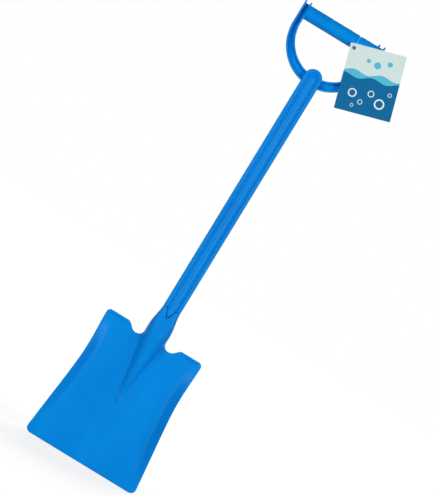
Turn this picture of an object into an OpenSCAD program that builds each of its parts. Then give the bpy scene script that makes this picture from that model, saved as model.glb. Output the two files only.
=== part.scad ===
// Long-handled sand shovel: dished blade with a neck socket, ribbed shaft, D handle and a swing tag.
// Lengths are in millimetres. The front faces -Y, +Z runs up the shaft, and the origin is the grip's centre.

/* [Overall] */
// Length from the cutting edge to the tips of the handle
overall_length = 640; // [580:1:700]
// Gap left around a piece where it plugs into another
fit_gap = 0.2; // [0.1:0.05:0.4]

/* [Blade] */
// Height of the blade from the cutting edge to the foot treads
blade_height = 185; // [165:1:205]
// Width of the cutting edge
edge_width = 160; // [144:1:178]
// Width of the blade at its waist
waist_width = 134.5; // [122:0.5:136]
// Width across the foot treads
tread_width = 138.5; // [136:0.5:150]
// Height of the waist above the cutting edge
waist_height = 132; // [110:1:150]
// Length over which the side bends round the waist
waist_bend = 25; // [10:1:45]
// Radius of the corners at the cutting edge
edge_corner = 7; // [3:0.5:14]
// Radius of the outer corners of the treads
tread_corner = 6; // [3:0.5:10]
// Wall thickness of the blade
blade_wall = 2.8; // [2:0.1:3.6]
// How far the sides curl up in front of the floor
side_rise = 11; // [5:0.5:16]
// Width of the curl along each side
curl_width = 15; // [10:0.5:22]
// Length over which the curl grows from the cutting edge
curl_run_in = 75; // [40:1:100]
// Length over which the curl dies out below the treads
curl_run_out = 55; // [30:1:75]
// Height of the thickened lip along the treads
lip_height = 3.6; // [2:0.2:6]
// How far that lip stands in front of the floor
lip_rise = 1.4; // [0.6:0.2:2.4]

/* [Neck and ridge] */
// Width of the neck at its widest
neck_width = 31.6; // [28:0.2:36]
// Length of the neck above the treads
neck_length = 39; // [34:0.5:50]
// Length over which the neck narrows to its mouth
neck_taper = 30; // [22:0.5:34]
// Distance from the treads down to the tip of the ridge
ridge_length = 98; // [80:1:115]
// Depth of the notches beside the neck
notch_depth = 9; // [6:0.5:13]
// Radius between each notch and the neck
notch_fillet = 7; // [4:0.5:8]
// Distance between the inner ends of the treads
tread_gap = 74; // [66:0.5:84]
// Wall of the socket at its mouth
socket_wall = 2.2; // [1.8:0.1:2.8]
// Depth of the socket
socket_depth = 36; // [28:0.5:38]
// Length of the pointed latch window in the neck's front
latch_length = 15; // [10:0.5:20]
// Gap between the latch window and the tongue in it
latch_gap = 1.4; // [0.4:0.1:1.8]

/* [Shaft] */
// Width of the shaft
shaft_width = 23.7; // [21:0.1:27]
// Depth of the shaft from front to back
shaft_depth = 19; // [17:0.1:19.2]
// Width of the rim along each side
rim_width = 5; // [4:0.1:5.6]
// Radius on the edges of the rims
rim_round = 1.8; // [0.8:0.1:1.9]
// Depth of the grooves beside the bead
groove_depth = 2.6; // [1.5:0.1:3.5]
// Radius of the bead's crown
bead_radius = 6; // [5.4:0.1:6.6]
// How far the bead's crest lies below the rims
bead_drop = 0.3; // [0:0.1:1]
// How far the shaft's round end laps up over the bow
shaft_lap = 22; // [16:0.5:30]

/* [Handle] */
// Height of the handle from the bottom of the bow to its tips
handle_height = 90; // [80:0.5:110]
// Outside width across the arms
handle_width = 116.2; // [104:0.2:130]
// Clear width between the arms
hand_width = 97.2; // [86:0.2:99]
// Height of the bow's band at its lowest point
bow_band = 13; // [11:0.5:18]
// Depth of the bow's rims from front to back
bow_depth = 14; // [11:0.2:15]
// Thickness of the web between the rims
web_thickness = 3.2; // [2.4:0.2:6]
// Thickness of each rim of the bow
bow_rim = 2.3; // [1.6:0.1:3]
// Diameter of the grip
grip_diameter = 19.4; // [19.2:0.1:24]
// How far the tips of the arms stand above the grip
tip_rise = 2.8; // [1:0.1:6]
// Depth of the notch between the two rims at each tip
tip_notch = 3.3; // [1:0.1:6]
// Width of the tongue inside the shaft
tongue_width = 14; // [8:0.5:18]
// Length of the tongue below the bow
tongue_length = 24; // [12:0.5:40]

/* [Tag] */
// Width of the card
card_width = 72; // [50:1:90]
// Height of the card
card_height = 84; // [60:1:110]
// Thickness of the card
card_thickness = 0.5; // [0.3:0.05:0.8]
// Radius of the card's corners
card_corner = 1.2; // [0.5:0.1:3]
// Distance from the card's left edge to the hole
hole_from_side = 5.4; // [4:0.1:9]
// Distance from the card's top edge to the hole
hole_from_top = 5.9; // [4:0.1:9]
// Radius of the hole
hole_radius = 1.5; // [1.5:0.1:2.5]
// Turn of the card as it lies
card_turn = 16.5; // [0:0.5:30]
// Distance of the hole from the middle of the grip
tag_offset = 24; // [14:0.5:32]
// Drop of the hole below the grip's axis
hole_drop = 8.6; // [7.5:0.1:9.5]
// Radius of the loop's filament
loop_wire = 0.45; // [0.3:0.05:0.6]
// Clearance of the loop and the card from the grip
tag_clearance = 0.3; // [0.2:0.05:0.5]

/* [Hidden] */
$fn = 96;
blue = "#0082d7";
loop_colour = "#dfeaf0";
card_colour = "#e1f0ee";

// Distance by which a cutter runs past the face that it opens
past = 1;

// Heights above the cutting edge
neck_mouth = blade_height + neck_length;
socket_floor = neck_mouth - socket_depth;
notch_floor = blade_height - notch_depth;
ridge_tip = blade_height - ridge_length;
grip_radius = grip_diameter / 2;
grip_height = overall_length - tip_rise - grip_radius;
bow_bottom = overall_length - handle_height;
dome_height = bow_bottom + shaft_lap - shaft_width / 2;

// Half sizes
shaft_half = shaft_width / 2;
half_depth = shaft_depth / 2;
neck_half = neck_width / 2;
bow_outer = handle_width / 2;
bow_inner = hand_width / 2;

// The blade's back lies in one plane with the grip's back, so the shovel rests flat on it
back_y = grip_radius;
floor_y = back_y - blade_wall;

function mix(a, b, t) = a + (b - a) * t;
function ease(t) = let (c = min(1, max(0, t))) c * c * (3 - 2 * c);
function signed_power(v, e) = sign(v) * pow(abs(v), e);

// Points of the arc that rounds corner b of the path a, b, c
function corner_arc(a, b, c, r, steps = 6) =
    let (
        u = (a - b) / norm(a - b),
        v = (c - b) / norm(c - b),
        half = acos(u * v) / 2,
        centre = b + (u + v) / norm(u + v) * r / sin(half),
        start = b + u * r / tan(half) - centre,
        finish = b + v * r / tan(half) - centre,
        from = atan2(start.y, start.x),
        turn = atan2(finish.y, finish.x) - from,
        sweep = turn > 180 ? turn - 360 : turn < -180 ? turn + 360 : turn
    )
    [for (i = [0:steps]) centre + r * [cos(from + sweep * i / steps), sin(from + sweep * i / steps)]];

// Half width of the blade at height z: straight flares that bend softly round the waist
function blade_half(z) =
    let (
        low = z < waist_height,
        reach = low ? waist_height : blade_height - waist_height,
        spread = ((low ? edge_width : tread_width) - waist_width) / 2,
        away = norm([z - waist_height, waist_bend]) - waist_bend
    )
    waist_width / 2 + spread * away / (norm([reach, waist_bend]) - waist_bend);

// How far the blade stands in front of its floor at distance d inside its side
function curl_strength(z) = side_rise * ease(z / curl_run_in) * ease((blade_height - z) / curl_run_out);
function curl_rise(d, z) = curl_strength(z) * pow(max(0, 1 - d / curl_width), 2);
function curl_slope(d, z) = 2 * curl_strength(z) / curl_width * max(0, 1 - d / curl_width);

// Neck and ridge are one loft: a half cone that grows out of the floor into a rounded socket
function ridge_share(z) = (z - ridge_tip) / ridge_length;
function neck_share(z) = ease((z - blade_height) / neck_length);
function loft_half(z) =
    z > blade_height
        ? mix(shaft_half, neck_half, ease((neck_mouth - z) / neck_taper))
        : max(blade_wall / 3, neck_half * ridge_share(z));
function loft_crest(z) = mix(floor_y, -half_depth, min(1, ridge_share(z)));
function loft_waist(z) = mix(floor_y + blade_wall * 0.45, 0, neck_share(z));
function loft_back(z) = mix(floor_y + blade_wall * 0.7, half_depth, neck_share(z));
function loft_power(z) = mix(mix(1.45, 2.2, pow(min(1, max(0, ridge_share(z))), 3)), 5, neck_share(z));

// One closed section of the loft at height z, drawn in by wall, with a given waist and back
function loft_section(z, wall, waist, back, points) =
    let (
        half = loft_half(z) - wall,
        front = waist - loft_crest(z) - wall,
        power = 2 / loft_power(z)
    )
    [
        for (i = [0:points - 1])
            let (
                angle = 360 * i / points,
                depth = sin(angle) < 0 ? front : back - waist
            )
            [
                half * signed_power(cos(angle), power),
                waist + depth * signed_power(sin(angle), power),
                z
            ]
    ];

// Skin over sections that have equal numbers of points, closed at both ends
module skin(sections) {
    points = len(sections[0]);
    last = (len(sections) - 1) * points;
    sides = [
        for (row = [0:len(sections) - 2], i = [0:points - 1])
            let (a = row * points + i, b = row * points + (i + 1) % points)
            each [[a, a + points, b], [b, a + points, b + points]]
    ];
    ends = [[for (i = [0:points - 1]) i], [for (i = [points - 1:-1:0]) last + i]];
    polyhedron([for (section = sections) each section], concat(sides, ends));
}

// Loft between two heights, one hull between each pair of neighbouring sections
module loft(low, high, rows, section) {
    for (row = [0:rows - 1])
        hull()
            skin([for (step = [row, row + 1]) let (z = mix(low, high, step / rows)) section(z)]);
}

// Work heights are above the cutting edge, and the origin of the part is the grip's centre
module from_grip() {
    translate([0, 0, -grip_height])
        children();
}

// Turns a flat outline to face the front and gives it a depth centred on the shaft's axis
module upright(depth) {
    rotate([90, 0, 0])
        linear_extrude(depth, center = true)
            children();
}

module both_sides() {
    children();
    mirror([1, 0, 0])
        children();
}

module rounded_square(size, r) {
    translate([r, 0])
        square([size.x - 2 * r, size.y]);
    translate([0, r])
        square([size.x, size.y - 2 * r]);
    for (x = [r, size.x - r], y = [r, size.y - r])
        translate([x, y])
            circle(r);
}

// Outline of the blade seen from the front, with its notches
module blade_outline() {
    side_steps = 20;
    low = edge_corner * 2;
    high = blade_height - tread_corner * 2;
    edge_end = [blade_half(0), 0];
    tread_end = [blade_half(blade_height), blade_height];
    notch_slope = notch_depth;
    tread_in = [tread_gap / 2, blade_height];
    notch_out = [tread_gap / 2 - notch_slope, notch_floor];
    notch_in = [neck_half, notch_floor];
    neck_side = [neck_half, blade_height];
    side = [
        for (i = [0:side_steps])
            let (z = mix(low, high, i / side_steps))
            [blade_half(z), z]
    ];
    right = concat(
        corner_arc([0, 0], edge_end, side[0], edge_corner),
        side,
        corner_arc(side[side_steps], tread_end, tread_in, tread_corner),
        corner_arc(tread_end, tread_in, notch_out, notch_fillet / 2),
        corner_arc(tread_in, notch_out, notch_in, notch_fillet / 2),
        corner_arc(notch_out, notch_in, neck_side, notch_fillet)
    );
    left = [for (i = [len(right) - 1:-1:0]) [-right[i].x, right[i].y]];
    polygon(concat(right, left));
}

// Dished sheet, a little larger than the blade all round
module dished_sheet() {
    curl_steps = 7;
    rows = 22;
    // Distances in from the side, half a step off it so that the outline cuts through the middle of a facet
    inward = [
        for (i = [0:curl_steps])
            curl_width * (i - 0.5) / curl_steps,
        curl_width
    ];
    outward = [for (i = [len(inward) - 1:-1:0]) inward[i]];
    function front(z, d, side) = [side * (blade_half(z) - d), floor_y - curl_rise(d, z), z];
    function back(z, d, side) = front(z, d, side) + [0, blade_wall * norm([1, curl_slope(d, z)]), 0];
    skin([
        for (row = [0:rows])
            let (z = mix(-past, blade_height + past, row / rows))
            [
                for (d = inward) front(z, d, -1),
                for (d = outward) front(z, d, 1),
                for (d = inward) back(z, d, 1),
                for (d = outward) back(z, d, -1)
            ]
    ]);
}

// Thickened lip that runs along the top of each tread
module tread_lips() {
    lip_start = tread_gap / 2 + notch_fillet / 2;
    lip_end = blade_half(blade_height) - tread_corner;
    both_sides()
        translate([lip_start, floor_y - lip_rise, blade_height - lip_height])
            cube([lip_end - lip_start, lip_rise + blade_wall / 2, lip_height + past]);
}

// Solid neck and ridge
module neck_and_ridge() {
    run_out = 5;
    section = function(z) loft_section(z, 0, loft_waist(z), loft_back(z), 32);
    loft(ridge_tip - run_out, neck_mouth, 22, section);
}

// Hollow behind the ridge, open at the back
module ridge_hollow() {
    low = ridge_tip + ridge_length * (blade_wall + 2) / neck_half;
    high = min(blade_height, socket_floor) - blade_wall * 3;
    loft(low, high, 8, function(z) loft_section(z, blade_wall, floor_y, back_y + past, 24));
}

// Plug at the foot of the shaft, and with a gap the socket that takes it
module spigot_outline(gap) {
    size = [shaft_width, shaft_depth] - 2 * (socket_wall - gap) * [1, 1];
    translate(-size / 2)
        rounded_square(size, socket_wall * 2);
}

// Pointed window in the neck's front, drawn in by gap for the tongue that shows through it
module latch_outline(gap) {
    half = shaft_half - rim_width;
    lean = atan2(half, latch_length);
    low = neck_mouth - latch_length + gap / sin(lean);
    wide = half - gap / cos(lean);
    right = [[wide, neck_mouth], [wide, neck_mouth + past]];
    left = [[-wide, neck_mouth + past], [-wide, neck_mouth]];
    polygon(concat([[0, low]], right, left));
}

// Half of the shaft's section: side rim, core and the half-round bead on both faces
module shaft_half_section() {
    rim_start = shaft_half - rim_width;
    core_half = half_depth - groove_depth;
    bead_centre = half_depth - bead_drop - bead_radius;
    translate([0, -core_half])
        square([rim_start + rim_round, 2 * core_half]);
    translate([rim_start, -half_depth])
        rounded_square([rim_width, shaft_depth], rim_round);
    intersection() {
        union() {
            for (side = [-1, 1])
                translate([0, side * bead_centre])
                    circle(bead_radius);
        }
        translate([0, -half_depth])
            square([bead_radius, shaft_depth]);
    }
}

// Outline of the shaft's round end, seen from the front
module shaft_end_outline(gap) {
    half = shaft_half + gap;
    translate([0, dome_height])
        circle(half);
    translate([-half, dome_height - handle_height])
        square([2 * half, handle_height]);
}

// D outline of the bow: a half circle with straight sides up to the tips
module bow_outline(half, bottom) {
    intersection() {
        translate([0, bottom + half])
            circle(half);
        translate([-half, bottom])
            square([2 * half, half]);
    }
    translate([-half, bottom + half])
        square([2 * half, overall_length - bottom - half]);
}

// Middle plate of the handle inside the shaft: the bow's web and the tongue below it
module plug_outline(gap) {
    translate([0, bow_bottom + bow_outer])
        circle(bow_outer + gap);
    half = tongue_width / 2 + gap;
    translate([-half, bow_bottom - tongue_length - gap])
        square([2 * half, tongue_length + bow_outer]);
}

module bow_rims_outline() {
    inner_bottom = bow_bottom + bow_band;
    difference() {
        bow_outline(bow_outer, bow_bottom);
        bow_outline(bow_outer - bow_rim, bow_bottom + bow_rim);
    }
    difference() {
        bow_outline(bow_inner + bow_rim, inner_bottom - bow_rim);
        bow_outline(bow_inner, inner_bottom);
    }
}

module bow_web_outline() {
    difference() {
        bow_outline(bow_outer, bow_bottom);
        bow_outline(bow_inner, bow_bottom + bow_band);
        translate([-handle_width, overall_length - tip_notch])
            square([2 * handle_width, tip_notch + past]);
    }
    intersection() {
        shaft_end_outline(0);
        plug_outline(0);
    }
}

module card_outline() {
    low = [-hole_from_side, hole_from_top - card_height];
    difference() {
        translate(low)
            rounded_square([card_width, card_height], card_corner);
        circle(hole_radius);
    }
}

module blade() {
    color(blue)
        from_grip()
            difference() {
                union() {
                    intersection() {
                        union() {
                            dished_sheet();
                            tread_lips();
                        }
                        upright(4 * grip_diameter)
                            blade_outline();
                    }
                    neck_and_ridge();
                }
                ridge_hollow();
                translate([0, 0, socket_floor])
                    linear_extrude(socket_depth + past)
                        spigot_outline(fit_gap);
                translate([0, -half_depth, 0])
                    upright(shaft_depth)
                        latch_outline(0);
            }
}

module shaft() {
    plug_length = socket_depth - fit_gap;
    bead_centre = half_depth - bead_drop - bead_radius;
    color(blue)
        from_grip() {
            difference() {
                union() {
                    translate([0, 0, neck_mouth + fit_gap])
                        linear_extrude(dome_height - neck_mouth - fit_gap)
                            both_sides()
                                shaft_half_section();
                    translate([0, 0, dome_height])
                        rotate([90, 0, 0])
                            rotate_extrude(angle = 180)
                                shaft_half_section();
                    translate([0, 0, neck_mouth - plug_length])
                        linear_extrude(plug_length + fit_gap)
                            spigot_outline(0);
                    intersection() {
                        translate([0, -bead_centre, neck_mouth - latch_length])
                            cylinder(r = bead_radius, h = latch_length + fit_gap);
                        translate([0, -half_depth, 0])
                            upright(shaft_depth)
                                latch_outline(latch_gap);
                    }
                }
                upright(web_thickness + 2 * fit_gap)
                    plug_outline(fit_gap);
            }
        }
}

module d_handle() {
    color(blue)
        from_grip() {
            upright(web_thickness)
                bow_web_outline();
            upright(bow_depth)
                difference() {
                    bow_rims_outline();
                    shaft_end_outline(fit_gap);
                }
            translate([0, 0, grip_height])
                rotate([0, 90, 0])
                    cylinder(r = grip_radius, h = hand_width + bow_rim, center = true);
        }
}

module tag_loop() {
    card_middle = grip_radius + tag_clearance + card_thickness / 2;
    top = grip_radius + tag_clearance + loop_wire;
    // The ring clears the top of the grip and passes through the middle of the card's hole
    drop = (card_middle * card_middle + hole_drop * hole_drop - top * top) / (2 * (top + hole_drop));
    color(loop_colour)
        translate([tag_offset, 0, -drop])
            rotate([0, 90, 0])
                rotate_extrude()
                    translate([top + drop, 0])
                        circle(loop_wire);
}

module tag_card() {
    color(card_colour)
        translate([tag_offset, -grip_radius - tag_clearance, -hole_drop])
            rotate([90, 0, 0])
                rotate(card_turn)
                    linear_extrude(card_thickness)
                        card_outline();
}

blade();
shaft();
d_handle();
tag_loop();
tag_card();
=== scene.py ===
"""A child's sand shovel in moulded blue plastic, with a printed card on a clear filament loop."""

import math

import bpy
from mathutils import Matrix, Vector


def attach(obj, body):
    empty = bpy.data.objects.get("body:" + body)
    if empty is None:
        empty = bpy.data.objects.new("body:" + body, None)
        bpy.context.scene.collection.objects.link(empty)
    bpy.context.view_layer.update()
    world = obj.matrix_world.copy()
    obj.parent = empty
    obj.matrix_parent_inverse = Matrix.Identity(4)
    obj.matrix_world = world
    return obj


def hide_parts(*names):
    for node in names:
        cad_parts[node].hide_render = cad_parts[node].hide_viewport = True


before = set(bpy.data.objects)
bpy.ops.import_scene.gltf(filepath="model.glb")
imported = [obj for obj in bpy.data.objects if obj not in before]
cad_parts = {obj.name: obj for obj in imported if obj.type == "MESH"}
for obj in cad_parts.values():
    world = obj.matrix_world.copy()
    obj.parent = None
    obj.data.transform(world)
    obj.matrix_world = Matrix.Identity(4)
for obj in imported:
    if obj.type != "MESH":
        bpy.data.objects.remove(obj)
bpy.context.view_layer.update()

# Sizes are in millimetres. Heights are above the cutting edge, x runs to the right, y runs to the
# back, and the frame's origin is the centre of the grip.

# Handle
GRIP_HEIGHT = 627.5
GRIP_RADIUS = 9.7
TIP_HEIGHT = 640.0
BOW_BOTTOM = 550.0
BOW_OUTER = 58.1
BOW_INNER = 48.6
BOW_BAND = 13.0
BOW_HALF_DEPTH = 7.0
BOW_RIM = 2.3
BOW_ROUND = 0.8
BOW_STEPS = 56
WEB_HALF = 1.6
WEB_DROP = 3.3
END_LENGTH = 30.0

# Blade plate
BLADE_HEIGHT = 185.0
BLADE_WALL = 2.8
FLOOR_Y = GRIP_RADIUS - BLADE_WALL
PLATE_ROUND = 1.1
EDGE_WIDTH = 160.0
EDGE_CORNER = 7.9
WAIST_WIDTH = 134.5
WAIST_HEIGHT = 132.0
WAIST_BEND = 25.0
TREAD_WIDTH = 138.5
TREAD_CORNER = 6.0
TREAD_IN = 37.0
NOTCH_FLOOR = 176.0
NOTCH_IN = TREAD_IN - 9
NOTCH_CORNER = 3.0
NECK_CORNER = 7.0
LIP_IN = TREAD_IN + 3
LIP_INSET = 5.0
LIP_DROP = 2.0
LIP_DEPTH = 2.8
LIP_HEIGHT = 3.2
LIP_ROUND = 0.7

# Curled sides: the curl grows from the cutting edge and fades towards the treads, and its softness
# is the share of an S in its section
SIDE_RISE = 11.0
CURL_WIDTH = 15.0
CURL_GROWTH = 75.0
CURL_FADE = 55.0
CURL_SOFTNESS = 0.7
ROW_STEP = 5.0
COLUMN_START = 50.0
COLUMN_STEP = 2.0
COLUMNS = 15

# Ridge and neck: the ridge's widths, rises and lengths at its tip are shares of the full ones
NECK_HALF = 15.8
NECK_MOUTH = 224.0
NECK_TAPER = 30.0
NECK_POWER = 5.0
RIDGE_TIP = 87.0
RIDGE_LENGTH = 98.0
RIDGE_LEAD = 5.0
RIDGE_SEAT = 0.45
RIDGE_BACK = 0.7
RIDGE_TIP_POWER = 1.45
RIDGE_TOP_POWER = 2.2
TIP_WIDTH = 0.2
TIP_STEP = 0.13
TIP_STEP_LENGTH = 0.06
HOLLOW_LOW = RIDGE_TIP + RIDGE_LENGTH * (BLADE_WALL + 2) / NECK_HALF
HOLLOW_HIGH = BLADE_HEIGHT - 3 * BLADE_WALL
SOCKET_FLOOR = 188.0
SOCKET_WALL = 2.2
PLUG_CORNER = 4.0
LATCH_HEIGHT = 15.0
LATCH_GAP = 1.4
WINDOW_FRONT = -20.0

# Smoothing of the blade's skin: at the ridge's foot, at the hollow's rim and along the curled sides
FOOT_Y = FLOOR_Y + 0.8
FOOT_REACH = 9.0
FOOT_FADE = 5.0
FOOT_END = 12.0
TIP_SOFTNESS = 0.15
TIP_SOFT_LENGTH = 60.0
BACK_Y = FLOOR_Y + 1
HOLLOW_RIM = 0.62
HOLLOW_MARGIN = 4.0
HOLLOW_SIDE = 2.0
HOLLOW_REACH = 3.5
HOLLOW_FADE = 2.5
SIDE_REACH = 9.0
SIDE_FADE = 5.0
SIDE_LOW = 14.0
SIDE_LOW_FADE = 12.0
SIDE_HIGH = BLADE_HEIGHT - 7
SIDE_HIGH_FADE = 8.0

# Shaft
SHAFT_HALF = 11.85
SHAFT_DEPTH = 9.5
DOME_HEIGHT = 560.15
RIM_START = 6.85
GROOVE_DEPTH = 2.6
BEAD_RADIUS = 6.0
BEAD_CENTRE = 3.2
BEAD_END = 38.1
RIB_ROUNDS = (0.5, 0.6, 1.6, 1.8)
TONGUE_FRONT = -12.0
TONGUE_DEPTH = 8.0

# Tag
TAG_X = 24.0
HOLE_DROP = 8.6
HOLE_RADIUS = 1.5
CARD_LEFT, CARD_RIGHT = -5.4, 66.6
CARD_LOW, CARD_HIGH = -78.1, 5.9
CARD_BACK_Y = -10.0
CARD_THICKNESS = 0.5
CARD_CORNER = 1.2
CARD_TURN = 16.5
LOOP_RADIUS = 12.2826
LOOP_DROP = 1.8326
LOOP_WIRE = 0.45
LOCK_BACK, LOCK_DOWN = 0.78, 0.626
LOCK_SWELLS = ((2.6, 0.25), (1.9, 0.25))

# Fits: the gap between two mouldings, how far shapes run past each other before they are fused or
# cut, and a depth that goes right through
FIT = 0.2
OVERLAP = 1.0
RIGHT_THROUGH = 40.0

# Points closer together than this are one point: in a drawing, after a spin and at a corner
SAME = 0.001
SAME_SPUN = 0.005
SAME_CORNER = 0.01


def place(x, y, height):
    """A point in the part's frame, in metres, from millimetres and a height."""
    return Vector((x, y, height - GRIP_HEIGHT)) / 1000


def mm(value):
    return value / 1000


def mix(a, b, t):
    return a + (b - a) * t


def ease(t):
    t = min(1.0, max(0.0, t))
    return t * t * (3 - 2 * t)


def near(distance, reach, fade):
    """1 close by, falling to 0 at the reach over the last stretch of the way."""
    return ease((reach - distance) / fade)


def steps(first, last, count):
    """Values from the first to the last, evenly spaced."""
    return [mix(first, last, i / count) for i in range(count + 1)]


# Ways of working

def start_clean():
    if bpy.context.mode != "OBJECT":
        bpy.ops.object.mode_set(mode="OBJECT")
    bpy.ops.object.select_all(action="DESELECT")


def work_on(piece):
    start_clean()
    bpy.context.view_layer.objects.active = piece
    piece.select_set(True)


def pick(piece, wanted):
    """Selects the vertices whose place passes the test and opens the piece in edit mode."""
    work_on(piece)
    mesh = piece.data
    for face in mesh.polygons:
        face.select = False
    for edge in mesh.edges:
        edge.select = False
    for vertex in mesh.vertices:
        vertex.select = wanted(vertex.co)
    bpy.ops.object.mode_set(mode="EDIT")
    bpy.ops.mesh.select_mode(type="VERT")


def pick_edges(piece, wanted):
    """Selects the edges whose ends pass the test and opens the piece in edit mode."""
    work_on(piece)
    for edge in piece.data.edges:
        a, b = (piece.data.vertices[i].co for i in edge.vertices)
        edge.select = wanted(a, b)
    bpy.ops.object.mode_set(mode="EDIT")
    bpy.ops.mesh.select_mode(type="EDGE")


def pick_all(piece):
    work_on(piece)
    bpy.ops.object.mode_set(mode="EDIT")
    bpy.ops.mesh.select_mode(type="VERT")
    bpy.ops.mesh.select_all(action="SELECT")


def close_edit():
    bpy.ops.object.mode_set(mode="OBJECT")


def apply_modifiers(piece):
    work_on(piece)
    for modifier in list(piece.modifiers):
        bpy.ops.object.modifier_apply(modifier=modifier.name)


def draw(name, *paths, closed=True):
    """Draws wires from vertex to vertex, each one extruded out of the last."""
    start_clean()
    bpy.ops.mesh.primitive_plane_add(size=mm(1))
    piece = bpy.context.object
    piece.name = name
    bpy.ops.object.mode_set(mode="EDIT")
    bpy.ops.mesh.select_mode(type="VERT")
    bpy.ops.mesh.select_all(action="SELECT")
    bpy.ops.mesh.delete(type="VERT")
    for path in paths:
        bpy.ops.mesh.primitive_plane_add(size=mm(1), location=path[0])
        bpy.ops.mesh.merge(type="CENTER")
        stops = list(path[1:]) + ([path[0]] if closed else [])
        for here, there in zip(path, stops):
            bpy.ops.mesh.extrude_vertices_move(TRANSFORM_OT_translate={"value": there - here})
    bpy.ops.mesh.select_all(action="SELECT")
    bpy.ops.mesh.remove_doubles(threshold=mm(SAME))
    close_edit()
    return piece


def round_corner(piece, corner, length):
    """Rounds one drawn corner, starting at a length from it along each side."""
    pick(piece, lambda co: (co - corner).length < mm(SAME_CORNER))
    bpy.ops.mesh.bevel(offset=mm(length), segments=6, affect="VERTICES")
    close_edit()


def fill_and_extrude(piece, move):
    pick_all(piece)
    bpy.ops.mesh.edge_face_add()
    bpy.ops.mesh.extrude_region_move(TRANSFORM_OT_translate={"value": move})
    bpy.ops.mesh.select_all(action="SELECT")
    bpy.ops.mesh.normals_make_consistent(inside=False)
    close_edit()


def round_rims(piece, radius):
    """Rounds the outlines of a plate's front and back faces."""
    pick_edges(piece, lambda a, b: abs(a.y - b.y) < mm(SAME))
    bpy.ops.mesh.bevel(offset=mm(radius), segments=4, affect="EDGES")
    close_edit()


def loft(name, sections):
    """Bridges drawn loops into a closed body."""
    piece = draw(name, *sections)
    pick_all(piece)
    bpy.ops.mesh.bridge_edge_loops()
    close_edit()
    for section in (sections[0], sections[-1]):
        level = section[0].z
        pick(piece, lambda co: abs(co.z - level) < mm(SAME))
        bpy.ops.mesh.edge_face_add()
        close_edit()
    pick_all(piece)
    bpy.ops.mesh.normals_make_consistent(inside=False)
    close_edit()
    return piece


def combine(piece, other, how):
    boolean = piece.modifiers.new(how.lower(), "BOOLEAN")
    boolean.operation = how
    boolean.solver = "EXACT"
    boolean.object = other
    apply_modifiers(piece)
    bpy.data.objects.remove(other)


def cut(piece, tool):
    combine(piece, tool, "DIFFERENCE")


def fuse(piece, other):
    combine(piece, other, "UNION")


def join(piece, *others):
    work_on(piece)
    for other in others:
        other.select_set(True)
    bpy.ops.object.join()


def weigh(piece, name, weight_at):
    """Adds a vertex group whose weights follow from each vertex's x, y and height."""
    group = piece.vertex_groups.new(name=name)
    for vertex in piece.data.vertices:
        x, y, z = (value * 1000 for value in vertex.co)
        weight = weight_at(x, y, z + GRIP_HEIGHT)
        if weight > 0:
            group.add([vertex.index], weight, "REPLACE")


def soften(piece, rounds, group=""):
    smooth = piece.modifiers.new("soften", "SMOOTH")
    smooth.factor = 0.5
    smooth.iterations = rounds
    smooth.vertex_group = group
    apply_modifiers(piece)


def mould(piece, grain, rounds):
    """Fuses the shells of a piece into one skin with the soft edges of a moulding."""
    skin = piece.modifiers.new("skin", "REMESH")
    skin.mode = "VOXEL"
    skin.voxel_size = mm(grain)
    soften(piece, rounds)
    bpy.ops.object.shade_smooth()


# Blade

def blade_half(height):
    """Half the blade's width, which is least at the waist."""
    low = height < WAIST_HEIGHT
    reach = WAIST_HEIGHT if low else BLADE_HEIGHT - WAIST_HEIGHT
    flare = ((EDGE_WIDTH if low else TREAD_WIDTH) - WAIST_WIDTH) / 2
    away = math.hypot(height - WAIST_HEIGHT, WAIST_BEND) - WAIST_BEND
    return WAIST_WIDTH / 2 + flare * away / (math.hypot(reach, WAIST_BEND) - WAIST_BEND)


def curl(x, height):
    """Share of the full curl at a place on the blade, and its slope."""
    strength = ease(height / CURL_GROWTH) * ease((BLADE_HEIGHT - height) / CURL_FADE)
    across = min(1.0, max(0.0, 1 - (blade_half(height) - abs(x)) / CURL_WIDTH))
    slope = mix(2 * across, 6 * across * (1 - across), CURL_SOFTNESS) * SIDE_RISE / CURL_WIDTH
    return strength * mix(across ** 2, ease(across), CURL_SOFTNESS), strength * slope


def blade_plate():
    """The blade's outline with its notches, as a flat plate with rounded rims."""
    right = [place(blade_half(h), FLOOR_Y, h) for h in steps(0, BLADE_HEIGHT, count=24)]
    right += [
        place(TREAD_IN, FLOOR_Y, BLADE_HEIGHT),
        place(NOTCH_IN, FLOOR_Y, NOTCH_FLOOR),
        place(NECK_HALF, FLOOR_Y, NOTCH_FLOOR),
        place(NECK_HALF, FLOOR_Y, BLADE_HEIGHT - OVERLAP)]
    left = [Vector((-p.x, p.y, p.z)) for p in reversed(right)]
    plate = draw("blade_moulding", right + left)
    corners = (
        (blade_half(0), 0, EDGE_CORNER),
        (blade_half(BLADE_HEIGHT), BLADE_HEIGHT, TREAD_CORNER),
        (TREAD_IN, BLADE_HEIGHT, NOTCH_CORNER),
        (NOTCH_IN, NOTCH_FLOOR, NOTCH_CORNER),
        (NECK_HALF, NOTCH_FLOOR, NECK_CORNER))
    for side in (1, -1):
        for x, height, length in corners:
            round_corner(plate, place(side * x, FLOOR_Y, height), length)
    fill_and_extrude(plate, (0, mm(BLADE_WALL), 0))
    round_rims(plate, PLATE_ROUND)
    return plate


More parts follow.
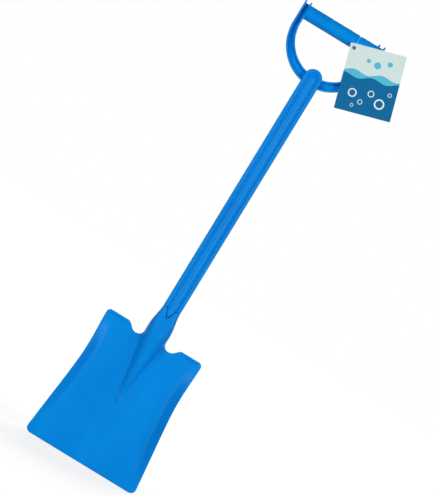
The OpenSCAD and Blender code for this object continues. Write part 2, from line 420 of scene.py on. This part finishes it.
def dish(plate):
    """Cuts the plate into small faces and curls its sides forward, with the wall kept even."""
    rows = [ROW_STEP * i for i in range(1, int(BLADE_HEIGHT / ROW_STEP))]
    columns = [COLUMN_START + COLUMN_STEP * i for i in range(COLUMNS)]
    lines = [(place(0, 0, row), (0, 0, 1)) for row in rows]
    lines += [(place(side * column, 0, 0), (1, 0, 0)) for side in (1, -1) for column in columns]
    pick_all(plate)
    for point, direction in lines:
        bpy.ops.mesh.select_all(action="SELECT")
        bpy.ops.mesh.bisect(plane_co=point, plane_no=direction)
    close_edit()

    def thicker(x, y, height):
        slope = curl(x, height)[1]
        return (y - FLOOR_Y) / BLADE_WALL * (math.hypot(1, slope) - 1)

    weigh(plate, "curl", lambda x, y, height: curl(x, height)[0])
    weigh(plate, "wall", thicker)
    for group, strength in (("curl", -SIDE_RISE), ("wall", BLADE_WALL)):
        move = plate.modifiers.new(group, "DISPLACE")
        move.direction = "Y"
        move.mid_level = 0
        move.strength = mm(strength)
        move.vertex_group = group
    apply_modifiers(plate)


def add_tread_lips(blade):
    low, high = LIP_IN, blade_half(BLADE_HEIGHT) - LIP_INSET
    for side in (1, -1):
        start_clean()
        bpy.ops.mesh.primitive_cube_add(
            size=1, location=place(side * (low + high) / 2, FLOOR_Y, BLADE_HEIGHT - LIP_DROP))
        lip = bpy.context.object
        lip.scale = (mm(high - low), mm(LIP_DEPTH), mm(LIP_HEIGHT))
        bpy.ops.object.transform_apply(location=True, rotation=False, scale=True)
        round_rims(lip, LIP_ROUND)
        fuse(blade, lip)


def ridge_share(height):
    return (height - RIDGE_TIP) / RIDGE_LENGTH


def ridge_half(height):
    """Half the ridge's width, which narrows to a blunt tip."""
    return NECK_HALF * mix(TIP_WIDTH, 1, max(0.0, ridge_share(height)))


def crest_share(height):
    """Share of the ridge's full rise, which starts with a low step at the tip."""
    share = min(1.0, ridge_share(height))
    return max(share, TIP_STEP * ease(share / TIP_STEP_LENGTH)) if share > 0 else share


def neck_section(height, wall=0.0, waist=None, back=None, points=40):
    """A closed loop of the neck or of the ridge below it."""
    ridge = min(1.0, max(0.0, ridge_share(height)))
    neck = ease((height - BLADE_HEIGHT) / (NECK_MOUTH - BLADE_HEIGHT))
    if height > BLADE_HEIGHT:
        half = mix(SHAFT_HALF, NECK_HALF, near(height, NECK_MOUTH, NECK_TAPER))
    else:
        half = ridge_half(height)
    crest = mix(FLOOR_Y, -SHAFT_DEPTH, crest_share(height))
    if waist is None:
        waist = mix(FLOOR_Y + BLADE_WALL * RIDGE_SEAT, 0, neck)
        back = mix(FLOOR_Y + BLADE_WALL * RIDGE_BACK, SHAFT_DEPTH, neck)
    power = 2 / mix(mix(RIDGE_TIP_POWER, RIDGE_TOP_POWER, ridge ** 3), NECK_POWER, neck)
    loop = []
    for i in range(points):
        c = math.cos(math.tau * i / points)
        s = math.sin(math.tau * i / points)
        depth = waist - crest - wall if s < 0 else back - waist
        loop.append(place(
            (half - wall) * math.copysign(abs(c) ** power, c),
            waist + depth * math.copysign(abs(s) ** power, s),
            height))
    return loop


def latch_outline(gap, front):
    """A V with its point down, inside the neck's window by a gap."""
    lean = math.atan2(RIM_START, LATCH_HEIGHT)
    low = NECK_MOUTH - LATCH_HEIGHT + gap / math.sin(lean)
    top = NECK_MOUTH + OVERLAP
    wide = RIM_START - gap / math.cos(lean)
    return [
        place(0, front, low), place(wide, front, NECK_MOUTH), place(wide, front, top),
        place(-wide, front, top), place(-wide, front, NECK_MOUTH)]


def plug_block(name, gap, low, high):
    """A round-cornered block that fits the neck's socket."""
    start_clean()
    half = Vector((
        SHAFT_HALF - SOCKET_WALL + gap, SHAFT_DEPTH - SOCKET_WALL + gap, (high - low) / 2))
    bpy.ops.mesh.primitive_cube_add(size=2, location=place(0, 0, (low + high) / 2))
    block = bpy.context.object
    block.name = name
    block.scale = half / 1000
    bpy.ops.object.transform_apply(location=True, rotation=False, scale=True)
    pick_edges(block, lambda a, b: abs(a.z - b.z) > mm(1))
    bpy.ops.mesh.bevel(offset=mm(PLUG_CORNER), segments=6)
    close_edit()
    return block


def even_edges(blade, plate):
    """Draws the skin along the curled edges back onto the plate that it covers."""
    def edge_weight(x, y, height):
        along = ease((height - SIDE_LOW) / SIDE_LOW_FADE)
        inside = blade_half(height) - abs(x)
        return near(inside, SIDE_REACH, SIDE_FADE) * along * near(height, SIDE_HIGH, SIDE_HIGH_FADE)

    weigh(blade, "edge", edge_weight)
    fit = blade.modifiers.new("fit", "SHRINKWRAP")
    fit.wrap_method = "NEAREST_SURFACEPOINT"
    fit.target = plate
    fit.vertex_group = "edge"
    apply_modifiers(blade)
    bpy.data.objects.remove(plate)


def soften_ridge(blade):
    """Rounds the ridge's foot on the blade's floor, and the rim of the hollow behind it."""
    def ridge_weight(x, y, height):
        half = ridge_half(height)
        if y < FOOT_Y and RIDGE_TIP - FOOT_END < height < NOTCH_FLOOR:
            fade = near(height, NOTCH_FLOOR, FOOT_END)
            fade *= mix(TIP_SOFTNESS, 1, ease((height - RIDGE_TIP) / TIP_SOFT_LENGTH))
            return fade * near(abs(abs(x) - half), FOOT_REACH, FOOT_FADE)
        along_hollow = HOLLOW_LOW - HOLLOW_MARGIN < height < HOLLOW_HIGH + HOLLOW_MARGIN
        if y > BACK_Y and along_hollow and abs(x) < half + HOLLOW_SIDE:
            rim = HOLLOW_RIM * (half - BLADE_WALL)
            away = min(abs(abs(x) - rim), abs(height - HOLLOW_HIGH))
            return near(away, HOLLOW_REACH, HOLLOW_FADE)
        return 0.0

    weigh(blade, "ridge", ridge_weight)
    soften(blade, rounds=30, group="ridge")


def make_blade():
    blade = blade_plate()
    dish(blade)
    work_on(blade)
    bpy.ops.object.duplicate()
    plate = bpy.context.object
    add_tread_lips(blade)
    heights = steps(RIDGE_TIP - RIDGE_LEAD, NECK_MOUTH, count=30)
    fuse(blade, loft("neck", [neck_section(h) for h in heights]))
    heights = steps(HOLLOW_LOW, HOLLOW_HIGH, count=8)
    back = GRIP_RADIUS + OVERLAP
    cut(blade, loft("hollow", [neck_section(h, BLADE_WALL, FLOOR_Y, back) for h in heights]))
    cut(blade, plug_block("socket", FIT, SOCKET_FLOOR, NECK_MOUTH + OVERLAP))
    window = draw("window", latch_outline(0, WINDOW_FRONT))
    fill_and_extrude(window, (0, mm(-WINDOW_FRONT), 0))
    cut(blade, window)
    mould(blade, grain=0.9, rounds=4)
    even_edges(blade, plate)
    soften_ridge(blade)
    return blade


# Shaft

def make_shaft():
    """Half of the ribbed section, spun over the round end and drawn down to the neck."""
    arc = [math.radians(a) for a in steps(90, BEAD_END, count=8)]
    bead = [(BEAD_RADIUS * math.cos(a), BEAD_CENTRE + BEAD_RADIUS * math.sin(a)) for a in arc]
    groove = (RIM_START, SHAFT_DEPTH - GROOVE_DEPTH)
    rim_in, rim_out = (RIM_START, SHAFT_DEPTH), (SHAFT_HALF, SHAFT_DEPTH)
    half = bead + [groove, rim_in, rim_out]
    front = [place(x, -y, DOME_HEIGHT) for x, y in half]
    back = [place(x, y, DOME_HEIGHT) for x, y in reversed(half)]
    shaft = draw("shaft_moulding", front + back, closed=False)
    for side in (1, -1):
        for (x, y), length in zip((bead[-1], groove, rim_in, rim_out), RIB_ROUNDS):
            round_corner(shaft, place(x, side * y, DOME_HEIGHT), length)
    pick_all(shaft)
    bpy.ops.mesh.spin(steps=40, angle=math.pi, center=place(0, 0, DOME_HEIGHT), axis=(0, 1, 0))
    bpy.ops.mesh.select_all(action="SELECT")
    bpy.ops.mesh.remove_doubles(threshold=mm(SAME_SPUN))
    close_edit()
    level = mm(DOME_HEIGHT - GRIP_HEIGHT)
    pick(shaft, lambda co: abs(co.z - level) < mm(SAME_SPUN))
    bpy.ops.mesh.extrude_edges_move(
        TRANSFORM_OT_translate={"value": (0, 0, mm(NECK_MOUTH + FIT - DOME_HEIGHT))})
    bpy.ops.mesh.edge_face_add()
    bpy.ops.mesh.select_all(action="SELECT")
    bpy.ops.mesh.normals_make_consistent(inside=False)
    close_edit()
    fork_for_bow(shaft)
    tongue = latch_tongue()
    plug = plug_block("plug", 0, SOCKET_FLOOR + FIT, NECK_MOUTH + 2 * FIT)
    join(shaft, tongue, plug)
    work_on(shaft)
    bpy.ops.object.shade_smooth_by_angle(angle=math.radians(32))
    return shaft


def fork_for_bow(shaft):
    """Slots the shaft's round end for the web of the bow."""
    start_clean()
    bpy.ops.mesh.primitive_cylinder_add(
        vertices=128, radius=mm(BOW_OUTER + FIT), depth=mm(2 * WEB_HALF + 2 * FIT),
        location=place(0, 0, BOW_BOTTOM + BOW_OUTER), rotation=(math.pi / 2, 0, 0))
    cut(shaft, bpy.context.object)


def latch_tongue():
    """The pointed end of the bead, which shows in the neck's window."""
    tongue = draw("tongue", latch_outline(LATCH_GAP, TONGUE_FRONT))
    fill_and_extrude(tongue, (0, mm(TONGUE_DEPTH), 0))
    start_clean()
    bpy.ops.mesh.primitive_cylinder_add(
        vertices=64, radius=mm(BEAD_RADIUS), depth=mm(RIGHT_THROUGH),
        location=place(0, -BEAD_CENTRE, NECK_MOUTH))
    combine(tongue, bpy.context.object, "INTERSECT")
    return tongue


# Handle

def bow_band(name, outer, inner, top, half_depth):
    """A flat U-shaped band between two sides, each a radius and the height of its lowest point."""
    def side(radius, bottom):
        centre = bottom + radius
        turn = [math.pi * i / BOW_STEPS for i in range(BOW_STEPS + 1)]
        arc = [(-radius * math.cos(a), centre - radius * math.sin(a)) for a in turn]
        return [(-radius, top)] + arc + [(radius, top)]

    outline = side(*outer) + side(*inner)[::-1]
    band = draw(name, [place(x, -half_depth, height) for x, height in outline])
    fill_and_extrude(band, (0, mm(2 * half_depth), 0))
    return band


def shaft_end():
    """A block with the outline of the shaft's round end, a fit wider all round."""
    start_clean()
    bpy.ops.mesh.primitive_cylinder_add(
        vertices=96, radius=mm(SHAFT_HALF + FIT), depth=mm(RIGHT_THROUGH),
        location=place(0, 0, DOME_HEIGHT), rotation=(math.pi / 2, 0, 0))
    end = bpy.context.object
    bpy.ops.object.transform_apply(location=True, rotation=True, scale=True)
    pick(end, lambda co: co.z < place(0, 0, DOME_HEIGHT).z - mm(SAME_CORNER))
    bpy.ops.transform.translate(value=(0, 0, mm(-END_LENGTH)))
    close_edit()
    return end


def make_handle():
    inner_bottom = BOW_BOTTOM + BOW_BAND
    handle = bow_band(
        "handle_moulding", (BOW_OUTER, BOW_BOTTOM), (BOW_OUTER - BOW_RIM, BOW_BOTTOM + BOW_RIM),
        TIP_HEIGHT, BOW_HALF_DEPTH)
    join(handle, bow_band(
        "inner_rim", (BOW_INNER + BOW_RIM, inner_bottom - BOW_RIM), (BOW_INNER, inner_bottom),
        TIP_HEIGHT, BOW_HALF_DEPTH))
    round_rims(handle, BOW_ROUND)
    cut(handle, shaft_end())
    web = bow_band(
        "web", (BOW_OUTER - OVERLAP, BOW_BOTTOM + OVERLAP),
        (BOW_INNER + OVERLAP, inner_bottom - OVERLAP), TIP_HEIGHT - WEB_DROP, WEB_HALF)
    start_clean()
    bpy.ops.mesh.primitive_cylinder_add(
        vertices=96, radius=mm(GRIP_RADIUS), depth=mm(2 * BOW_INNER + 2 * OVERLAP),
        location=place(0, 0, GRIP_HEIGHT), rotation=(0, math.pi / 2, 0))
    grip = bpy.context.object
    join(handle, web, grip)
    mould(handle, grain=0.55, rounds=3)
    return handle


# Tag

def on_card(u, v, y):
    """A point on the card, from its hole along and up the card."""
    turn = math.radians(CARD_TURN)
    return place(
        TAG_X + u * math.cos(turn) - v * math.sin(turn), y,
        GRIP_HEIGHT - HOLE_DROP + u * math.sin(turn) + v * math.cos(turn))


def make_card():
    outline = (
        (CARD_LEFT, CARD_LOW), (CARD_RIGHT, CARD_LOW),
        (CARD_RIGHT, CARD_HIGH), (CARD_LEFT, CARD_HIGH))
    corners = [on_card(u, v, CARD_BACK_Y) for u, v in outline]
    card = draw("card_print", corners)
    for corner in corners:
        round_corner(card, corner, CARD_CORNER)
    fill_and_extrude(card, (0, mm(-CARD_THICKNESS), 0))
    start_clean()
    bpy.ops.mesh.primitive_cylinder_add(
        vertices=48, radius=mm(HOLE_RADIUS), depth=mm(8 * CARD_THICKNESS),
        location=on_card(0, 0, CARD_BACK_Y), rotation=(math.pi / 2, 0, 0))
    cut(card, bpy.context.object)
    return card


def make_loop():
    """A ring of filament, thickened where its ends lock."""
    start_clean()
    centre = GRIP_HEIGHT - LOOP_DROP
    bpy.ops.mesh.primitive_torus_add(
        location=place(TAG_X, 0, centre), rotation=(0, math.pi / 2, 0),
        major_radius=mm(LOOP_RADIUS), minor_radius=mm(LOOP_WIRE),
        major_segments=120, minor_segments=14)
    loop = bpy.context.object
    loop.name = "filament_loop"
    bpy.ops.object.transform_apply(location=True, rotation=True, scale=True)
    lock = place(TAG_X, LOOP_RADIUS * LOCK_BACK, centre - LOOP_RADIUS * LOCK_DOWN)
    for reach, swell in LOCK_SWELLS:
        pick(loop, lambda co: (co - lock).length < mm(reach))
        bpy.ops.transform.shrink_fatten(value=mm(swell))
        close_edit()
    work_on(loop)
    bpy.ops.object.shade_smooth()
    return loop


# Finishes

def finish_nodes(name):
    material = bpy.data.materials.new(name)
    material.use_nodes = True
    tree = material.node_tree
    return material, tree.nodes, tree.links, tree.nodes["Principled BSDF"]


def object_noise(nodes, links, scale, detail, stretch=(1, 1, 1)):
    where = nodes.new("ShaderNodeTexCoord")
    mapping = nodes.new("ShaderNodeMapping")
    mapping.inputs["Scale"].default_value = stretch
    noise = nodes.new("ShaderNodeTexNoise")
    noise.inputs["Scale"].default_value = scale
    noise.inputs["Detail"].default_value = detail
    links.new(where.outputs["Object"], mapping.inputs["Vector"])
    links.new(mapping.outputs["Vector"], noise.inputs["Vector"])
    return noise.outputs["Fac"]


# The part of a noise's range that carries nearly all of it
NOISE_LOW, NOISE_HIGH = 0.3, 0.7


def shades(nodes, links, value, low, high):
    """Two colours, blended by a noise."""
    ramp = nodes.new("ShaderNodeValToRGB")
    ramp.color_ramp.elements[0].position = NOISE_LOW
    ramp.color_ramp.elements[0].color = (*low, 1)
    ramp.color_ramp.elements[1].position = NOISE_HIGH
    ramp.color_ramp.elements[1].color = (*high, 1)
    links.new(value, ramp.inputs["Fac"])
    return ramp.outputs["Color"]


def map_range(nodes, links, value, start, end, low, high):
    ramp = nodes.new("ShaderNodeMapRange")
    ramp.inputs["From Min"].default_value = start
    ramp.inputs["From Max"].default_value = end
    ramp.inputs["To Min"].default_value = low
    ramp.inputs["To Max"].default_value = high
    links.new(value, ramp.inputs["Value"])
    return ramp.outputs["Result"]


def uneven_gloss(nodes, links, shader, noise, low, high):
    roughness = map_range(nodes, links, noise, NOISE_LOW, NOISE_HIGH, low, high)
    links.new(roughness, shader.inputs["Roughness"])


def bump(nodes, links, shader, height, strength, depth):
    relief = nodes.new("ShaderNodeBump")
    relief.inputs["Strength"].default_value = strength
    relief.inputs["Distance"].default_value = mm(depth)
    links.new(height, relief.inputs["Height"])
    links.new(relief.outputs["Normal"], shader.inputs["Normal"])


def math_node(nodes, links, how, *values):
    node = nodes.new("ShaderNodeMath")
    node.operation = how
    for socket, value in zip(node.inputs, values):
        if isinstance(value, (int, float)):
            socket.default_value = value
        else:
            links.new(value, socket)
    return node.outputs[0]


def blue_plastic():
    material, nodes, links, shader = finish_nodes("blue_plastic")
    flow = object_noise(nodes, links, scale=26, detail=3, stretch=(1, 1, 0.35))
    colour = shades(nodes, links, flow, (0.0, 0.205, 0.64), (0.0, 0.24, 0.70))
    links.new(colour, shader.inputs["Base Color"])
    haze = object_noise(nodes, links, scale=70, detail=4)
    uneven_gloss(nodes, links, shader, haze, low=0.34, high=0.42)
    grain = object_noise(nodes, links, scale=1400, detail=2)
    bump(nodes, links, shader, grain, strength=0.12, depth=0.05)
    shader.inputs["Specular IOR Level"].default_value = 0.06
    return material


def clear_filament():
    material, nodes, links, shader = finish_nodes("clear_filament")
    cloud = object_noise(nodes, links, scale=300, detail=2)
    colour = shades(nodes, links, cloud, (0.86, 0.91, 0.94), (0.95, 0.98, 1.0))
    links.new(colour, shader.inputs["Base Color"])
    shader.inputs["Roughness"].default_value = 0.2
    shader.inputs["Transmission Weight"].default_value = 0.97
    shader.inputs["IOR"].default_value = 1.4
    return material


def paper(name):
    material, nodes, links, shader = finish_nodes(name)
    fibre = object_noise(nodes, links, scale=900, detail=4)
    colour = shades(nodes, links, fibre, (0.56, 0.67, 0.65), (0.60, 0.715, 0.69))
    links.new(colour, shader.inputs["Base Color"])
    uneven_gloss(nodes, links, shader, fibre, low=0.5, high=0.6)
    bump(nodes, links, shader, fibre, strength=0.1, depth=0.03)
    shader.inputs["Specular IOR Level"].default_value = 0.12
    return material, nodes, links, shader, colour


# The card's print, and painted shade at its hole: colours, and each round shape's place and radius
# from the hole
SKY = (0.08, 0.44, 0.60)
SEA = (0.0, 0.12, 0.29)
# Painted shade: the colour of a dark navy ring round the hole, standing in for the shadow inside it
HOLE_SHADE_COLOUR = (0.0, 0.045, 0.17)
FOAM = (0.68, 0.78, 0.78)
RINGS = (
    (12, -54, 5.5), (24, -63, 3.2), (35, -50, 4.2),
    (48, -60, 6.5), (58, -46, 2.6), (15, -69, 2.2))
RING_OPENING = 0.72
DOTS = ((22, -11, 2.6), (34, -14, 4.4), (49, -9, 3.2))
# Painted shade: the radius of the dark ring round the hole
HOLE_SHADE_RADIUS = 2.3


def printed_card():
    """Waves of two blues over a pale ground, with rings and dots, and a dark ring of painted shade
    at the hole.
    """
    material, nodes, links, shader, ground = paper("printed_card")
    where = nodes.new("ShaderNodeTexCoord")
    mapping = nodes.new("ShaderNodeMapping")
    mapping.vector_type = "TEXTURE"
    mapping.inputs["Location"].default_value = on_card(0, 0, CARD_BACK_Y)
    mapping.inputs["Rotation"].default_value = (0, math.radians(-CARD_TURN), 0)
    mapping.inputs["Scale"].default_value = (mm(1), mm(1), mm(1))
    links.new(where.outputs["Object"], mapping.inputs["Vector"])
    split = nodes.new("ShaderNodeSeparateXYZ")
    links.new(mapping.outputs["Vector"], split.inputs["Vector"])
    u, v = split.outputs["X"], split.outputs["Z"]

    def calc(how, *values):
        return math_node(nodes, links, how, *values)

    def ink(under, mask, colour):
        blend = nodes.new("ShaderNodeMix")
        blend.data_type = "RGBA"
        links.new(mask, blend.inputs["Factor"])
        links.new(under, blend.inputs["A"])
        blend.inputs["B"].default_value = (*colour, 1)
        return blend.outputs["Result"]

    def edge(value):
        """1 where the value is above zero, with an edge a fifth of a millimetre soft."""
        soft = calc("MULTIPLY_ADD", value, 5, 0.5)
        clamp = nodes.new("ShaderNodeClamp")
        links.new(soft, clamp.inputs["Value"])
        return clamp.outputs["Result"]

    def below_wave(level, rise, length, phase):
        turn = calc("MULTIPLY_ADD", u, math.tau / length, phase)
        wave = calc("MULTIPLY_ADD", calc("SINE", turn), rise, level)
        return edge(calc("SUBTRACT", wave, v))

    def disc(cu, cv, radius):
        du = calc("SUBTRACT", u, cu)
        dv = calc("SUBTRACT", v, cv)
        square = calc("ADD", calc("MULTIPLY", du, du), calc("MULTIPLY", dv, dv))
        return edge(calc("SUBTRACT", radius, calc("SQRT", square)))

    colour = ink(ground, below_wave(level=-27, rise=2.2, length=36, phase=0.4), SKY)
    colour = ink(colour, below_wave(level=-33, rise=2.2, length=36, phase=2.3), SEA)
    for cu, cv, radius in RINGS:
        colour = ink(colour, disc(cu, cv, radius), FOAM)
        colour = ink(colour, disc(cu, cv, radius * RING_OPENING), SEA)
    for cu, cv, radius in DOTS:
        colour = ink(colour, disc(cu, cv, radius), SKY)
    # Painted shade: a dark navy ring round the hole, for the shadow inside it
    colour = ink(colour, disc(0, 0, HOLE_SHADE_RADIUS), HOLE_SHADE_COLOUR)
    links.new(colour, shader.inputs["Base Color"])
    return material


def give_finish(piece, *materials):
    piece.data.materials.clear()
    for material in materials:
        piece.data.materials.append(material)


# Studio: places and sizes are in metres, and powers in watts

CAMERA_DISTANCE = 3.2
CAMERA_LEAN = -31.36
VIEW_CENTRE = (0.0082, -0.3083)
VIEW_HEIGHT = 0.6163
SENSOR_HEIGHT = 24
SHOVEL_MIDDLE = (0, 0, -0.3)
SOFTBOXES = (
    ("right_softbox", (1.88, -2.4, 0.02), 0.8, 51),
    ("left_softbox", (-1.88, -2.4, 0.02), 1.6, 66),
    ("side_softbox", (2.7, -1.44, -0.2), 0.35, 14),
    ("back_softbox", (0.6, 2.2, 1.0), 1.8, 76))
FLOOR_RADIUS = 14
FLOOR_BELOW = 0.1
FLOOR_GREY = (0.24, 0.24, 0.24)
GLOW_START, GLOW_END = 0.15, 1.2
GLOW_NEAR, GLOW_FAR = 0.8, 1
ROOM_COLOUR = (0.75, 0.87, 1.0)
ROOM_STRENGTH = 0.04


def set_camera():
    """Straight on from the front, leaned so that the shaft runs to the upper right."""
    camera = bpy.data.cameras.new("camera")
    camera.sensor_fit = "VERTICAL"
    camera.sensor_height = SENSOR_HEIGHT
    camera.lens = SENSOR_HEIGHT * CAMERA_DISTANCE / VIEW_HEIGHT
    camera.clip_end = 50
    holder = bpy.data.objects.new("camera", camera)
    holder.location = (VIEW_CENTRE[0], -CAMERA_DISTANCE, VIEW_CENTRE[1])
    holder.rotation_euler = (math.radians(90), math.radians(CAMERA_LEAN), 0)
    bpy.context.scene.collection.objects.link(holder)
    bpy.context.scene.camera = holder
    bpy.context.scene.view_settings.view_transform = "Standard"


def add_softbox(name, where, size, power):
    """A square light that faces the middle of the shovel."""
    light = bpy.data.lights.new(name, "AREA")
    light.shape = "RECTANGLE"
    light.size = light.size_y = size
    light.energy = power
    lamp = bpy.data.objects.new(name, light)
    lamp.location = where
    lamp.visible_camera = False
    aim = Vector(SHOVEL_MIDDLE) - Vector(where)
    lamp.rotation_euler = aim.to_track_quat("-Z", "Y").to_euler()
    bpy.context.scene.collection.objects.link(lamp)


def sees_white(nodes, links):
    """1 for the rays that see white around: from the camera, off a gloss, through the filament."""
    path = nodes.new("ShaderNodeLightPath")
    seen = path.outputs["Is Camera Ray"]
    for ray in ("Is Glossy Ray", "Is Transmission Ray"):
        seen = math_node(nodes, links, "MAXIMUM", seen, path.outputs[ray])
    return seen


def make_floor():
    """A wide white floor that shows a soft shadow near the shovel and plain white further out."""
    start_clean()
    bpy.ops.mesh.primitive_circle_add(
        vertices=96, radius=FLOOR_RADIUS, fill_type="NGON",
        location=(0, 0, mm(-GRIP_HEIGHT - FLOOR_BELOW)))
    floor = bpy.context.object
    floor.name = "floor"
    material, nodes, links, shader = finish_nodes("white_floor")
    shader.inputs["Base Color"].default_value = (*FLOOR_GREY, 1)
    shader.inputs["Roughness"].default_value = 0.9
    shader.inputs["Specular IOR Level"].default_value = 0
    where = nodes.new("ShaderNodeTexCoord")
    far = nodes.new("ShaderNodeVectorMath")
    far.operation = "LENGTH"
    links.new(where.outputs["Object"], far.inputs[0])
    fade = map_range(
        nodes, links, far.outputs["Value"], GLOW_START, GLOW_END, GLOW_NEAR, GLOW_FAR)
    white = nodes.new("ShaderNodeEmission")
    glow = math_node(nodes, links, "MULTIPLY", sees_white(nodes, links), fade)
    links.new(glow, white.inputs["Strength"])
    both = nodes.new("ShaderNodeAddShader")
    links.new(shader.outputs[0], both.inputs[0])
    links.new(white.outputs[0], both.inputs[1])
    links.new(both.outputs[0], nodes["Material Output"].inputs["Surface"])
    floor.data.materials.append(material)


def set_world():
    """A dim pale blue room, seen as plain white."""
    world = bpy.data.worlds.new("studio")
    bpy.context.scene.world = world
    world.use_nodes = True
    nodes, links = world.node_tree.nodes, world.node_tree.links
    nodes.clear()
    room = nodes.new("ShaderNodeBackground")
    room.inputs["Color"].default_value = (*ROOM_COLOUR, 1)
    room.inputs["Strength"].default_value = ROOM_STRENGTH
    white = nodes.new("ShaderNodeBackground")
    white.inputs["Color"].default_value = (1, 1, 1, 1)
    white.inputs["Strength"].default_value = 1
    blend = nodes.new("ShaderNodeMixShader")
    out = nodes.new("ShaderNodeOutputWorld")
    links.new(sees_white(nodes, links), blend.inputs["Fac"])
    links.new(room.outputs[0], blend.inputs[1])
    links.new(white.outputs[0], blend.inputs[2])
    links.new(blend.outputs[0], out.inputs["Surface"])


# The shovel

blade = make_blade()
shaft = make_shaft()
handle = make_handle()
card = make_card()
loop = make_loop()

plastic = blue_plastic()
for piece, node in ((blade, "blade"), (shaft, "shaft"), (handle, "d_handle")):
    give_finish(piece, plastic)
    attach(piece, "shovel")
    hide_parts(node)

# The card's front is printed, and its back and its edges are bare
give_finish(card, printed_card(), paper("bare_card")[0])
for face in card.data.polygons:
    face.material_index = 0 if face.normal.y < -0.5 else 1
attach(card, "tag")
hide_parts("tag_card")

give_finish(loop, clear_filament())
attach(loop, "loop")
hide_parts("tag_loop")

# Its picture

set_camera()
for name, where, size, power in SOFTBOXES:
    add_softbox(name, where, size, power)
make_floor()
set_world()
